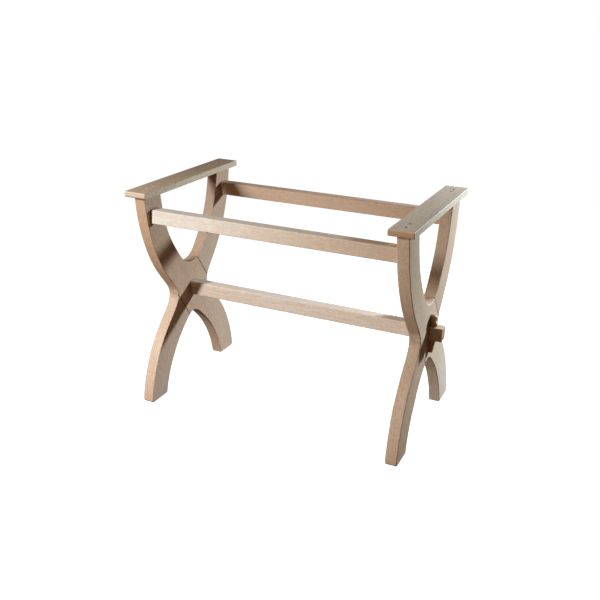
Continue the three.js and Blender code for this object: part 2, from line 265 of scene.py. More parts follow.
# outline (u, v) and thickness w turned into the frame's axes
YZX = Matrix(((0, 0, 1, 0), (1, 0, 0, 0), (0, 1, 0, 0), (0, 0, 0, 1)))   # u=Y v=Z w=X
XZY = Matrix(((1, 0, 0, 0), (0, 0, -1, 0), (0, 1, 0, 0), (0, 0, 0, 1)))  # u=X v=Z w=-Y


def move(x, y, z):
    return Matrix.Translation(Vector((x, y, z)) * MM)


def spin(angle):
    return Matrix.Rotation(angle, 4, "Z")


def prism(outline, low, high, place):
    rings = [[(a, b, level) for a, b in outline] for level in (low, high)]
    return to_object("cutter", *loft(rings), place=place)


def circle(radius, z, segs):
    return [(x, y, z) for x, y in arc(0, 0, radius, 0, 2 * math.pi, segs)[:-1]]


def lathe(profile, segs, place):
    """Solid turned about Z from (radius, z) points that start and end on the axis."""
    rings = [circle(radius, z, segs) for radius, z in profile[1:-1]]
    verts = [p for ring in rings for p in ring] + [(0, 0, profile[0][1]), (0, 0, profile[-1][1])]
    low, high = len(verts) - 2, len(verts) - 1
    faces = bands(len(rings), segs)
    last = (len(rings) - 1) * segs
    for i in range(segs):
        j = (i + 1) % segs
        faces.append((j, i, low))
        faces.append((last + i, last + j, high))
    return to_object("turned", verts, faces, place=place)


def dowel_holes(x_from, x_to, y, place):
    """Cutters for the pair of dowels in one rail joint."""
    return [prism(arc(y, RAIL_Z + dz, DOWEL_R + GAP, 0, 2 * math.pi, 32)[:-1],
                  min(x_from, x_to), max(x_from, x_to), place)
            for dz in (-DOWEL_DZ, DOWEL_DZ)]


def cut(obj, cutters):
    """Exact boolean difference, applied to the mesh; the cutters are removed."""
    for cutter in cutters:
        modifier = obj.modifiers.new("cut", "BOOLEAN")
        modifier.operation, modifier.solver, modifier.object = "DIFFERENCE", "EXACT", cutter
        depsgraph = bpy.context.evaluated_depsgraph_get()
        mesh = bpy.data.meshes.new_from_object(obj.evaluated_get(depsgraph))
        old = obj.data
        materials, name = list(old.materials), old.name
        obj.modifiers.clear()
        mesh.materials.clear()
        for material in materials:
            mesh.materials.append(material)
        mesh.polygons.foreach_set("material_index", [0] * len(mesh.polygons))
        obj.data = mesh
        bpy.data.meshes.remove(old)
        mesh.name = name
    # slivers a few microns long that the boolean leaves at tangent edges
    sliver = 2e-5
    edit = bmesh.new()
    edit.from_mesh(obj.data)
    bmesh.ops.remove_doubles(edit, verts=edit.verts, dist=sliver)
    bmesh.ops.dissolve_degenerate(edit, edges=edit.edges, dist=sliver)
    bmesh.ops.holes_fill(edit, edges=[e for e in edit.edges if e.is_boundary], sides=4)
    edit.to_mesh(obj.data)
    edit.free()
    for cutter in cutters:
        mesh = cutter.data
        bpy.data.objects.remove(cutter)
        bpy.data.meshes.remove(mesh)


def finish_piece(obj, replaces, rides="frame", sharp=32):
    """Shade the piece, with edges sharp above that many degrees, attach it to its body and hide
    the CAD part it replaces.
    """
    mesh = obj.data
    mesh.polygons.foreach_set("use_smooth", [True] * len(mesh.polygons))
    mesh.set_sharp_from_angle(angle=math.radians(sharp))
    mesh.update()
    normals = obj.modifiers.new("normals", "WEIGHTED_NORMAL")
    normals.mode, normals.weight, normals.keep_sharp = "FACE_AREA", 100, True
    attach(obj, rides)
    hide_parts(replaces)


# ------------------------------------------------------------------ shader helpers
def scaled(colour, factors):
    return tuple(c * factor for c, factor in zip(colour, factors))


class Nodes:
    """Shorthand for building a material's node tree."""

    def __init__(self, name):
        self.mat = bpy.data.materials.new(name)
        self.mat.use_nodes = True
        self.tree = self.mat.node_tree
        self.tree.nodes.clear()

    def node(self, kind, **settings):
        node = self.tree.nodes.new(kind)
        for key, value in settings.items():
            setattr(node, key, value)
        return node

    def put(self, socket, value):
        if isinstance(value, bpy.types.NodeSocket):
            self.tree.links.new(value, socket)
        elif value is not None:
            socket.default_value = value

    def math(self, operation, first, second=None, clamp=False):
        node = self.node("ShaderNodeMath", operation=operation, use_clamp=clamp)
        self.put(node.inputs[0], first)
        self.put(node.inputs[1], second)
        return node.outputs[0]

    def mul(self, first, second, clamp=False):
        return self.math("MULTIPLY", first, second, clamp)

    def plus(self, first, second, clamp=False):
        return self.math("ADD", first, second, clamp)

    def minus(self, first, second, clamp=False):
        return self.math("SUBTRACT", first, second, clamp)

    def vector(self, operation, first, second=None):
        node = self.node("ShaderNodeVectorMath", operation=operation)
        self.put(node.inputs[0], first)
        self.put(node.inputs[1], second)
        return node.outputs["Value" if operation in ("DOT_PRODUCT", "LENGTH") else "Vector"]

    def dot(self, first, second):
        return self.vector("DOT_PRODUCT", first, tuple(second)
                           if isinstance(second, Vector) else second)

    def xyz(self, x, y, z):
        node = self.node("ShaderNodeCombineXYZ")
        for socket, value in zip(node.inputs, (x, y, z)):
            self.put(socket, value)
        return node.outputs[0]

    def noise(self, vector, detail, rough):
        node = self.node("ShaderNodeTexNoise", noise_dimensions="3D")
        self.put(node.inputs["Vector"], vector)
        node.inputs["Scale"].default_value = 1.0
        node.inputs["Detail"].default_value = detail
        node.inputs["Roughness"].default_value = rough
        return node.outputs[0]

    def ramp(self, fac, stops, interp="LINEAR"):
        """Colour ramp through (position, grey or colour) stops."""
        node = self.node("ShaderNodeValToRGB")
        node.color_ramp.interpolation = interp
        elements = node.color_ramp.elements
        while len(elements) < len(stops):
            elements.new(0.5)
        for element, (position, tone) in zip(elements, stops):
            element.position = position
            element.color = (*tone, 1) if isinstance(tone, tuple) else (tone, tone, tone, 1)
        self.put(node.inputs[0], fac)
        return node.outputs[0]

    def mix(self, fac, first, second, blend="MIX"):
        """Colour mix; sockets 6, 7 and output 2 are the node's colour ones."""
        node = self.node("ShaderNodeMix", data_type="RGBA", blend_type=blend)
        self.put(node.inputs[0], fac)
        for index, colour in ((6, first), (7, second)):
            is_socket = isinstance(colour, bpy.types.NodeSocket)
            self.put(node.inputs[index], colour if is_socket else (*colour, 1))
        return node.outputs[2]

    def multiply(self, colour, tint):
        return self.mix(1.0, colour, tint, "MULTIPLY")

    def tinted(self, amount, colour, tint):
        return self.mix(amount, colour, self.multiply(colour, tint))

    def remap(self, value, span, to=(0.0, 1.0)):
        node = self.node("ShaderNodeMapRange")
        self.put(node.inputs[0], value)
        for socket, limit in zip(node.inputs[1:5], (*span, *to)):
            socket.default_value = limit
        return node.outputs[0]

    def edge(self, radius):
        """How far the rounded normal leaves the true one: above 0 near an edge."""
        bevel = self.node("ShaderNodeBevel", samples=4)
        bevel.inputs["Radius"].default_value = radius
        geometry = self.node("ShaderNodeNewGeometry")
        return self.minus(1.0, self.dot(bevel.outputs[0], geometry.outputs["True Normal"]))

    def principled(self, colour, rough, height, bump_strength, bump_distance):
        bsdf = self.node("ShaderNodeBsdfPrincipled")
        self.put(bsdf.inputs["Base Color"], colour)
        self.put(bsdf.inputs["Roughness"], rough)
        bump = self.node("ShaderNodeBump")
        bump.inputs["Strength"].default_value = bump_strength
        bump.inputs["Distance"].default_value = bump_distance
        self.put(bump.inputs["Height"], height)
        self.put(bsdf.inputs["Normal"], bump.outputs[0])
        return bsdf

    def output(self, shader):
        node = self.node("ShaderNodeOutputMaterial")
        self.put(node.inputs[0], shader.outputs[0])
        return self.mat


# ------------------------------------------------------------------ wood
# mean colour of each board, linear
BOARD = {
    "left_leg_a": (0.484, 0.336, 0.227), "left_leg_b": (0.480, 0.354, 0.252),
    "right_leg_a": (0.619, 0.487, 0.358), "right_leg_b": (0.536, 0.389, 0.270),
    "left_bearer": (0.598, 0.473, 0.325), "right_bearer": (0.787, 0.672, 0.540),
    "front_upper_rail": (0.608, 0.520, 0.420), "rear_upper_rail": (0.639, 0.455, 0.321),
    # the wedges' dark orange colour is partly the wood and partly painted shade of their
    # shadowed sides
    "lower_stretcher": (0.642, 0.542, 0.443), "left_wedge": (0.53, 0.335, 0.19),
    "right_wedge": (0.53, 0.335, 0.19), "dowel": (0.58, 0.46, 0.33),
}
# near-black painted shade for the gaps of the lap joints
PAINTED_SEAM_SHADE = (0.050, 0.026, 0.013)
MARK_COLOUR = (0.10, 0.052, 0.026)


class Grain(Nodes):
    """Nodes with coordinates along the fibres, sideways, and across towards a face."""

    def __init__(self, name, grain, face, shift):
        super().__init__(name)
        self.grain = Vector(grain).normalized()
        face = Vector(face)
        self.face = (face - self.grain * face.dot(self.grain)).normalized()
        self.side = self.grain.cross(self.face)
        self.coord = self.node("ShaderNodeTexCoord").outputs["Object"]
        self.place = self.dot(self.coord, self.grain)
        self.sideways = self.dot(self.coord, self.side)
        self.across = self.dot(self.coord, self.face)
        self.run = self.plus(self.place, shift)
        # slow and fine wander of the fibres
        self.slow = self.minus(self.fibre_noise(1.6, 5.0, detail=2.0, rough=0.5), 0.5)
        self.fine = self.minus(self.fibre_noise(9.0, 60.0, detail=2.0, rough=0.5), 0.5)

    def stretched(self, along, across):
        """Coordinates scaled by one number along the fibres and another across them."""
        return self.xyz(self.mul(self.run, along), self.mul(self.sideways, across),
                        self.mul(self.across, across))

    def fibre_noise(self, along, across, detail, rough):
        return self.noise(self.stretched(along, across), detail, rough)


def growth_rings(tree, heart, slope, ring):
    """Late wood, 0 to 1, in rings about the log's centre."""
    side = tree.minus(tree.sideways, heart[0])
    across = tree.minus(tree.across, heart[1])
    radius = tree.math("SQRT", tree.plus(tree.mul(side, side), tree.mul(across, across)))
    for wander, amount in ((tree.run, slope), (tree.slow, 0.030), (tree.fine, 0.0016)):
        radius = tree.plus(radius, tree.mul(wander, amount))
    phase = tree.math("FRACT", tree.mul(radius, 1.0 / ring))
    stops = [(0.0, 0.10), (0.45, 0.0), (0.80, 0.55), (0.93, 1.0), (1.0, 0.10)]
    late = tree.ramp(phase, stops, "EASE")
    # ring strength changes from year to year
    years = tree.noise(tree.xyz(tree.mul(radius, 95.0), 0.0, 0.0), detail=1.0, rough=0.5)
    return tree.mul(late, tree.remap(years, span=(0.3, 0.7), to=(0.25, 1.0)))


def ray_flecks(tree):
    """Short dark dashes along the grain."""
    cells = tree.node("ShaderNodeTexVoronoi", feature="F1", voronoi_dimensions="3D")
    tree.put(cells.inputs["Vector"], tree.stretched(along=210.0, across=950.0))
    cells.inputs["Scale"].default_value = 1.0
    dash = tree.ramp(cells.outputs["Distance"], [(0.0, 1.0), (0.20, 0.85), (0.34, 0.0)])
    channels = tree.node("ShaderNodeSeparateColor")
    tree.put(channels.inputs[0], cells.outputs["Color"])
    return tree.mul(dash, tree.remap(channels.outputs[0], span=(0.45, 0.95)))


def paint_seam_shade(tree, colour, normal, seams):
    """Painted shade in the joints: dark lines on the faces that look to +X or -X."""
    overrun = 0.0015
    facing = tree.dot(normal, (1, 0, 0))
    for way, start, end in seams:
        run = Vector((0, end[0] - start[0], end[1] - start[1])).normalized()
        away = Vector((0, -run.z, run.y))
        offset = tree.vector("SUBTRACT", tree.coord, (0.0, start[0] * MM, start[1] * MM))
        wobble = tree.mul(tree.fine, 0.0006)
        near = tree.math("ABSOLUTE", tree.plus(tree.dot(offset, away), wobble))
        along = tree.dot(offset, run)
        length = math.hypot(end[0] - start[0], end[1] - start[1]) * MM
        line = tree.remap(near, span=(0.0009, 0.0021), to=(1.0, 0.0))
        line = tree.mul(line, tree.math("LESS_THAN", along, length + overrun))
        line = tree.mul(line, tree.math("GREATER_THAN", along, -overrun))
        line = tree.mul(line, tree.math("GREATER_THAN", tree.mul(facing, way), 0.45))
        colour = tree.mix(tree.mul(line, 0.93), colour, PAINTED_SEAM_SHADE)
    return colour


def draw_marks(tree, colour, marks):
    """Dark spots, drawn out along the grain."""
    for point, radius, strength in marks:
        offset = tree.vector("SUBTRACT", tree.coord, tuple(c * MM for c in point))
        along = tree.mul(tree.dot(offset, tree.grain), 0.55)
        sideways = tree.dot(offset, tree.side)
        across = tree.dot(offset, tree.face)
        distance = tree.vector("LENGTH", tree.xyz(along, sideways, across))
        distance = tree.plus(distance, tree.mul(tree.fine, radius * MM * 0.9))
        spot = tree.remap(distance, span=(radius * MM * 0.35, radius * MM), to=(1.0, 0.0))
        colour = tree.mix(tree.mul(spot, strength, clamp=True), colour, MARK_COLOUR)
    return colour


def wood(board, grain, face, heart, ring, shift=0.0, slope=0.0, contrast=1.0, streak=0.6,
         speckle=1.0, rubbed=0.45, end_grain=(0.62, (0.80, 0.74, 0.70)),
         along=(), seams=(), marks=()):
    """Planed, unfinished beech in the board's colour.

    grain: direction of the fibres; face: a direction across them, towards the sapwood
    heart: the log's centre (sideways, across), in metres; ring: ring width in metres
    shift: moves the pattern along the grain; slope: how fast the rings run out along it
    contrast, streak, speckle, rubbed: strength of the figure, streaks, mottle, worn edges
    end_grain: how strongly the end grain shows, and its tint
    along: (from, to, tint, tint) changes of colour between two places on the grain axis
    seams: (+1 or -1 for the face, start, end) joint lines in (y, z) millimetres, painted with
    dark shade
    marks: (point, radius, strength) spots in millimetres
    """
    tree = Grain(f"beech_{board}", grain, face, shift)
    light = scaled(BOARD[board], (1.14, 1.17, 1.20))
    dark = scaled(BOARD[board], (0.76, 0.70, 0.64))

    late = growth_rings(tree, heart, slope, ring)
    streaks = tree.fibre_noise(along=7.0, across=260.0, detail=3.0, rough=0.62)
    thin_streaks = tree.fibre_noise(along=34.0, across=1150.0, detail=2.0, rough=0.6)
    dash = ray_flecks(tree)
    # broad patches of warmer and greyer wood
    patch = tree.fibre_noise(along=3.4, across=13.0, detail=3.0, rough=0.55)
    # short mottle: groups of rays and pores, a few millimetres long
    mottle = tree.fibre_noise(along=190.0, across=520.0, detail=3.0, rough=0.7)
    wide_mottle = tree.fibre_noise(along=75.0, across=210.0, detail=2.0, rough=0.6)

    # tone runs from light to dark wood; each pattern adds its amount
    tone = tree.mul(late, 0.46 * contrast)
    for pattern, amount in ((streaks, 1.05 * contrast * streak),
                            (thin_streaks, 0.70 * contrast),
                            (mottle, 1.30 * speckle),
                            (wide_mottle, 0.90 * speckle),
                            (patch, 0.55)):
        tone = tree.plus(tone, tree.mul(tree.minus(pattern, 0.5), amount))
    tone = tree.plus(tone, 0.30, clamp=True)
    colour = tree.mix(tone, light, dark)
    warm = tree.remap(patch, span=(0.42, 0.72), to=(0.0, 0.55))
    colour = tree.tinted(warm, colour, tint=(1.03, 0.95, 0.90))
    fleck = scaled(dark, (0.66, 0.56, 0.50))
    colour = tree.mix(tree.mul(dash, 0.42 * contrast), colour, fleck)

    # darker, ringed end grain
    end_strength, end_tint = end_grain
    normal = tree.node("ShaderNodeTexCoord").outputs["Normal"]
    end = tree.math("ABSOLUTE", tree.dot(normal, tree.grain))
    end = tree.remap(end, span=(0.55, 0.98))
    sawn = scaled(dark, end_tint)
    end_rings = tree.mix(tree.mul(late, 0.7), sawn, scaled(sawn, (0.78, 0.78, 0.78)))
    colour = tree.mix(tree.mul(end, end_strength), colour, end_rings)

    for start, stop, first, last in along:
        wander = 0.25 if stop - start > 0.1 else 0.0    # short changes stay straight
        fade = tree.plus(tree.remap(tree.place, span=(start, stop)),
                         tree.mul(tree.slow, wander), clamp=True)
        colour = tree.multiply(colour, tree.mix(fade, first, last))

    # rubbed arrises and a trace of handling dirt
    edge = tree.remap(tree.edge(radius=0.0022), span=(0.01, 0.16))
    scuff = tree.fibre_noise(along=22.0, across=55.0, detail=3.0, rough=0.6)
    edge = tree.mul(edge, tree.remap(scuff, span=(0.35, 0.65), to=(0.15, 1.0)), clamp=True)
    worn = tuple(min(1.0, c) for c in scaled(light, (1.10, 1.10, 1.11)))
    colour = tree.mix(tree.mul(edge, rubbed), colour, worn)
    dirt = tree.vector("MULTIPLY", tree.coord, (17.0, 17.0, 17.0))
    dirt = tree.remap(tree.noise(dirt, detail=4.0, rough=0.6), span=(0.60, 0.80), to=(0.0, 0.22))
    colour = tree.tinted(dirt, colour, tint=(0.84, 0.80, 0.76))

    # painted shade in joints and creases: darker, browner wood wherever the occlusion node finds
    # other surfaces close by
    occlusion = tree.node("ShaderNodeAmbientOcclusion", samples=6)
    occlusion.inputs["Distance"].default_value = 0.007
    painted_crease_shade = tree.remap(occlusion.outputs["AO"], span=(0.25, 0.95), to=(0.55, 0.0))
    colour = tree.tinted(painted_crease_shade, colour, tint=(0.42, 0.30, 0.22))

    # painted shade along the lap joints
    if seams:
        colour = paint_seam_shade(tree, colour, normal, seams)
    colour = draw_marks(tree, colour, marks)

    # streaks and flecks are rougher, worn edges smoother
    rough = tree.plus(0.50, tree.mul(streaks, 0.14))
    rough = tree.plus(rough, tree.mul(dash, 0.10))
    rough = tree.minus(rough, tree.mul(edge, 0.08), clamp=True)
    # relief: streaks stand up, flecks and late wood lie lower
    height = tree.plus(tree.mul(streaks, 0.55), tree.mul(thin_streaks, 0.45))
    height = tree.minus(height, tree.mul(dash, 0.6))
    height = tree.minus(height, tree.mul(late, 0.15))
    bsdf = tree.principled(colour, rough, height, bump_strength=0.55, bump_distance=0.00022)
    bsdf.inputs["Specular IOR Level"].default_value = 0.36
    return tree.output(bsdf)


# ------------------------------------------------------------------ steel
def steel(name, bright, metallic):
    """Plated screw: fine turning marks and dull patches; bright scales the plating's colour, and
    a low value paints the screw dark as in shade.
    """
    tree = Nodes(name)
    coord = tree.node("ShaderNodeTexCoord").outputs["Object"]
    blot = tree.noise(tree.vector("MULTIPLY", coord, (900.0, 900.0, 900.0)),
                      detail=4.0, rough=0.6)
    turning = tree.noise(tree.vector("MULTIPLY", coord, (300.0, 300.0, 5200.0)),
                         detail=3.0, rough=0.6)
    # dull to clean plating
    colour = tree.ramp(blot, [(0.30, scaled((0.62, 0.60, 0.55), bright)),
                              (0.50, scaled((0.80, 0.78, 0.72), bright)),
                              (0.72, scaled((0.95, 0.92, 0.86), bright))])
    edge = tree.remap(tree.edge(radius=0.0003), span=(0.02, 0.2), to=(0.0, 0.6))
    colour = tree.mix(edge, colour, scaled((1.0, 0.97, 0.90), bright))
    rough = tree.remap(blot, span=(0.3, 0.7), to=(0.38, 0.58))
    bsdf = tree.principled(colour, rough, turning, bump_strength=0.4, bump_distance=0.00005)
    bsdf.inputs["Metallic"].default_value = metallic
    return tree.output(bsdf)


# ------------------------------------------------------------------ legs
# fibre direction; leg a has its top at the front and its foot at the rear, leg b the reverse
LEG_GRAIN = {"a": (0.0, 418.0, -690.0), "b": (0.0, -418.0, -690.0)}
LEG_HEART = {"a": 0.030, "b": -0.045}
LEG_SHIFT = {"a": 0.4, "b": 2.3}
# how each leg's board changes colour: tint at the top, tint at the foot
LEG_TINT = {
    "left_leg_a": ((0.92, 0.89, 0.86), (1.07, 1.09, 1.14)),
    "left_leg_b": ((1.0, 0.93, 0.88), (1.0, 1.01, 1.04)),
    "right_leg_a": ((1.08, 1.01, 0.96), (0.89, 0.93, 1.01)),
    "right_leg_b": ((0.97, 0.95, 0.95), (0.99, 0.98, 0.97)),
}


def leg_outline():
    """Outline of leg a and a tag for the edge that starts at each point."""
    outer_up, waist = spline(OUTER_UP, 4), spline(WAIST, 3)
    outer_low = spline(OUTER_LOW, 4)
    inner, inner_mid = spline(INNER_UP[2:], 4), spline(INNER_UP[:3], 3)
    arch, arch_mid = spline(ARCH[2:], 4), spline(ARCH[:3], 3)
    waist_low = [p for p in waist if p[1] > SEAM_WAIST_LOW[1] - 0.1]
    toe = arc(OUTER_LOW[0][0] - TOE_R + 0.6, TOE_R, TOE_R, -QUARTER, 0, 9)
    heel = arc(ARCH[-1][0] + HEEL_R + 0.4, HEEL_R, HEEL_R, 2 * QUARTER, 3 * QUARTER, 9)
    front_seam = mirror([SEAM_WAIST_LOW, SEAM_LOW])
    top = mirror([INNER_UP[-1], OUTER_UP[-1]])
    parts = [
        (mirror(outer_up[::-1]), "arris"),
        (mirror(waist_low[::-1]), "arris"),
        (straight(*front_seam, 8, lead=3.6), "seam"),
        (mirror(arch_mid[::-1]) + arch_mid, "arris"),
        (arch, "arris"),
        (heel, "toe"),
        (straight(heel[-1], toe[0], 60, lead=0.8), "foot"),
        (toe, "toe"),
        (outer_low, "arris"),
        (waist, "arris"),
        (straight(SEAM_WAIST_UP, SEAM_TOP, 8, lead=3.6), "seam"),
        (inner_mid[::-1] + mirror(inner_mid), "arris"),
        (mirror(inner), "arris"),
        (straight(*top, 60, lead=3.6), "top"),
    ]
    points, tags = [], []
    for part, tag in parts:
        # a part's last point starts the next part's first edge
        points += part[:-1]
        tags += [tag] * (len(part) - 1)
    return clean(points, tags)


def leg_radii(tags):
    """Rounding of each edge; the toe's runs out smoothly into the arris."""
    radii = [LEG_RADIUS[tag] for tag in tags]
    for _ in range(20):
        old, radii = radii, []
        for i, tag in enumerate(tags):
            last, following = i - 1, (i + 1) % len(tags)
            blends = (tag in ("arris", "toe")
                      and {tags[last], tags[following]} <= {"arris", "toe", "foot"})
            radii.append((old[last] + 2 * old[i] + old[following]) / 4 if blends else old[i])
    return radii


def housing():
    """Corners of leg b's band across leg a, between its seam lines and well past their ends."""
    overrun = 150
    corners = []
    for line in (mirror([SEAM_TOP, SEAM_WAIST_UP]), [SEAM_LOW, SEAM_WAIST_LOW]):
        start, end = np.array(line, float)
        run = end - start
        run /= np.linalg.norm(run)
        corners += [tuple(start - run * overrun), tuple(end + run * overrun)]
    return corners


def make_leg(kind, side):
    name = f"{SIDES[side]}_leg_{kind}"
    outline, tags = leg_outline()
    inset = [SEAM_INSET if tag == "seam" else 0.0 for tag in tags]
    verts, faces = plate(outline, -LEG_HALF, LEG_HALF, leg_radii(tags), inset)
    trestle = move(side * TRESTLE_X, 0, 0)
    # leg b is leg a turned half way round the upright axis
    place = trestle @ (Matrix.Identity(4) if kind == "a" else spin(math.pi)) @ YZX
    front, rear = mirror([SEAM_WAIST_LOW, SEAM_LOW]), [SEAM_WAIST_UP, SEAM_TOP]
    material = wood(name, grain=LEG_GRAIN[kind], face=(1, 0, 0),
                    heart=(LEG_HEART[kind], -0.135 + side * TRESTLE_X * MM), ring=0.0030,
                    shift=side * 1.7 + LEG_SHIFT[kind], slope=0.012, speckle=1.3,
                    along=[(-0.60, 0.05, *LEG_TINT[name])],
                    seams=[(1, *front), (1, *rear), (-1, *mirror(front)), (-1, *mirror(rear))])
    obj = to_object(f"{name}_beech", verts, faces, material, place)

    cutters = [prism(housing(), -LEG_HALF - 2, 0.25, place)]
    half_width, half_height = TENON_WIDTH / 2 + GAP, TENON_HEIGHT / 2 + GAP
    mortise = [(y * half_width, STRETCHER_Z + z * half_height)
               for y, z in ((-1, -1), (1, -1), (1, 1), (-1, 1))]
    cutters.append(prism(mortise, -LEG_HALF - 3, LEG_HALF + 3, trestle @ YZX))
    inner = -side * LEG_HALF
    way = -1 if kind == "a" else 1          # the leg's top is at the front or the rear
    cutters += dowel_holes(inner - side * 1.0, inner + side * (DOWEL_LEN / 2 + 0.5),
                           way * RAIL_Y, trestle @ YZX)
    tip, hole = SCREW_TOP - SCREW_LEN, SHANK_R + GAP
    profile = [(0, tip - 0.3), (1.0, tip), (hole, tip + 6), (hole, HEIGHT), (0, HEIGHT)]
    for y in SCREW_Y[side]:
        if y * way > 0:
            cutters.append(lathe(profile, 24, trestle @ move(0, y, 0)))
    cut(obj, cutters)
    finish_piece(obj, replaces=name)


# ------------------------------------------------------------------ bearers
BEARER_LOOK = {
    -1: dict(
        # end grain nearly as light as the faces and greyer: painted light for the brightly lit
        # front end
        heart=(-TRESTLE_X * MM - 0.02, 0.50), speckle=1.8, end_grain=(0.80, (1.18, 1.30, 1.68)),
        along=[(-0.27, -0.05, (0.94, 0.94, 0.93), (0.98, 0.98, 0.97))],
        marks=[((-377.0, -110.0, 699.6), 3.2, 0.9)]),
    1: dict(
        heart=(TRESTLE_X * MM + 0.02, 0.46), speckle=2.1, end_grain=(0.95, (0.92, 0.70, 0.55)),
        along=[(-0.25, 0.25, (1.05, 1.05, 0.97), (0.91, 0.90, 0.86))]),
}


def bearer_outline():
    """Outline in (y, z), with points spaced along the top."""
    lead, spacing = 0.8, 26.5
    top_y, low_y = BEARER_HALF - BEARER_TOP_R, BEARER_HALF - BEARER_LOW_R
    top_z, low_z = HEIGHT - BEARER_TOP_R, BEARER_LOW + BEARER_LOW_R
    points = (arc(low_y, low_z, BEARER_LOW_R, -QUARTER, 0, 9)
              + arc(top_y, top_z, BEARER_TOP_R, 0, QUARTER, 7)
              + [(top_y - lead - k * spacing, HEIGHT) for k in range(20)]
              + [(-top_y + lead, HEIGHT)]
              + arc(-top_y, top_z, BEARER_TOP_R, QUARTER, 2 * QUARTER, 7)
              + arc(-low_y, low_z, BEARER_LOW_R, 2 * QUARTER, 3 * QUARTER, 9)
              + [(-low_y + lead, BEARER_LOW), (low_y - lead, BEARER_LOW)])
    return clean(points, ["arris"] * len(points))[0]


def make_bearer(side):
    name = f"{SIDES[side]}_bearer"
    outline = bearer_outline()
    verts, faces = plate(outline, -BEARER_WIDTH / 2, BEARER_WIDTH / 2, [1.6] * len(outline))
    trestle = move(side * TRESTLE_X, 0, 0)
    material = wood(name, grain=(0, 1, 0), face=(0, 0, 1), ring=0.0036, shift=side * 3.1 + 5,
                    slope=0.006, contrast=0.8, rubbed=0.10, **BEARER_LOOK[side])
    obj = to_object(f"{name}_beech", verts, faces, material, trestle @ YZX)
    head, shank = HEAD_R + GAP, SHANK_R + GAP
    # countersunk hole, flared where it breaks the top
    profile = [(0, BEARER_LOW - 5), (shank, BEARER_LOW - 5), (shank, SCREW_TOP - 3.2),
               (head, SCREW_TOP - 0.6), (head + 0.05, HEIGHT - 0.35),
               (head + 0.45, HEIGHT + 0.05), (head + 1.2, HEIGHT + 1), (0, HEIGHT + 1)]
    cut(obj, [lathe(profile, 40, trestle @ move(0, y, 0)) for y in SCREW_Y[side]])
    finish_piece(obj, replaces=f"{SIDES[side]}_top_bearer")


# ------------------------------------------------------------------ rails and stretcher
def make_rail(name, way, **look):
    """Upper rail; way is -1 for the front, 1 for the rear."""
    verts, faces = bar(shoulder(RAIL_WIDTH, RAIL_HEIGHT), RAIL_Z, way * RAIL_Y)
    material = wood(name, grain=(1, 0, 0), face=(0, -1, 0), speckle=1.1, streak=0.3, **look)
    obj = to_object(f"{name}_beech", verts, faces, material)
    cutters = []
    for side in SIDES:
        cutters += dowel_holes(side * (RAIL_END + 1), side * (RAIL_END - DOWEL_LEN / 2 - 0.8),
                               way * RAIL_Y, YZX)
    cut(obj, cutters)
    finish_piece(obj, replaces=name)


def make_stretcher():
    chamfer = 1.6
    tenon = [(-TENON_END, TENON_WIDTH - 2 * chamfer, TENON_HEIGHT - 2 * chamfer, 0.6),
             (-TENON_END + 0.5, TENON_WIDTH - 1.2, TENON_HEIGHT - 1.2, 1.0),
             (-TENON_END + chamfer, TENON_WIDTH, TENON_HEIGHT, TENON_R),
             (-TENON_END + chamfer + 0.6, TENON_WIDTH, TENON_HEIGHT, TENON_R),
             (-RAIL_END - 0.01, TENON_WIDTH, TENON_HEIGHT, TENON_R)]
    verts, faces = bar(tenon + shoulder(STRETCHER_WIDTH, STRETCHER_HEIGHT), STRETCHER_Z, 0)
    material = wood("lower_stretcher", grain=(1, 0, 0), face=(0, -1, 0), heart=(-0.34, 0.11),
                    ring=0.0030, shift=11.0, slope=0.010,
                    # lighter towards the right end
                    along=[(-0.10, 0.38, (0.95, 0.945, 0.95), (1.13, 1.13, 1.14)),
                           # the right tenon past the trestle's face darker and more orange:
                           # painted shade for its shadowed side
                           (0.425, 0.435, (1, 1, 1), (0.87, 0.75, 0.60))])
    obj = to_object("lower_stretcher_beech", verts, faces, material)
    # wedge slot, (distance out from the trestle's face, z)
    slot = [(-3.5, TENON_LOW - 2), (WEDGE_LOW_OUT + 2 * GAP - 0.06, TENON_LOW - 2),
            (WEDGE_TOP_OUT + 2 * GAP + 0.06, TENON_TOP + 2), (-3.5, TENON_TOP + 2)]
    half = WEDGE_THICK / 2 + GAP
    cut(obj, [prism([(side * (FACE + out), z) for out, z in slot], -half, half, XZY)
              for side in SIDES])
    finish_piece(obj, replaces="lower_stretcher")


# ------------------------------------------------------------------ wedges
def wedge_outline():
    low, top = (WEDGE_LOW_OUT, TENON_LOW), (WEDGE_TOP_OUT, TENON_TOP)
    points = (WEDGE_FOOT
              + straight(WEDGE_FOOT[-1], low, 6)[1:]
              + straight(low, top, 6)[1:-1]
              + spline(WEDGE_HEAD, 0.8)
              + straight(WEDGE_HEAD[-1], WEDGE_FOOT[0], 12)[1:-1])
    return clean(points, ["arris"] * len(points))[0]


def wedge_radius(start, end):
    """Rounding of one edge: least against the leg, most round the head."""
    if all(abs(point[0] - GAP) < 0.01 for point in (start, end)):
        return 0.6
    return 1.3 if (start[1] + end[1]) / 2 > TENON_TOP else 0.8


def make_wedge(side):
    name = f"{SIDES[side]}_wedge"
    outline = wedge_outline()
    radii = [wedge_radius(*edge) for edge in zip(outline, outline[1:] + outline[:1])]
    verts, faces = plate(outline, -WEDGE_THICK / 2, WEDGE_THICK / 2, radii, segs=4, support=0.3)
    place = move(FACE, 0, 0) @ XZY
    if side < 0:                            # turned half way round the upright axis
        place = spin(math.pi) @ place
    material = wood(name, grain=(0, 0, 1), face=(0, -1, 0), heart=(side * 0.44, 0.09),
                    ring=0.0022, shift=side * 2.0 + 7, slope=0.02)
    obj = to_object(f"{name}_beech", verts, faces, material, place)
    finish_piece(obj, replaces=name, rides=name, sharp=40)


# ------------------------------------------------------------------ screws
# shank above the thread, cone and head: (radius, height from the screw's top)
SCREW_HEAD = [(1.5, -19.5), (1.5, -4.2), (1.62, -3.6), (2.0, -2.75), (3.9, -0.62),
              (3.98, -0.42), (3.98, -0.14), (3.9, -0.03), (3.78, 0), (3.2, 0)]


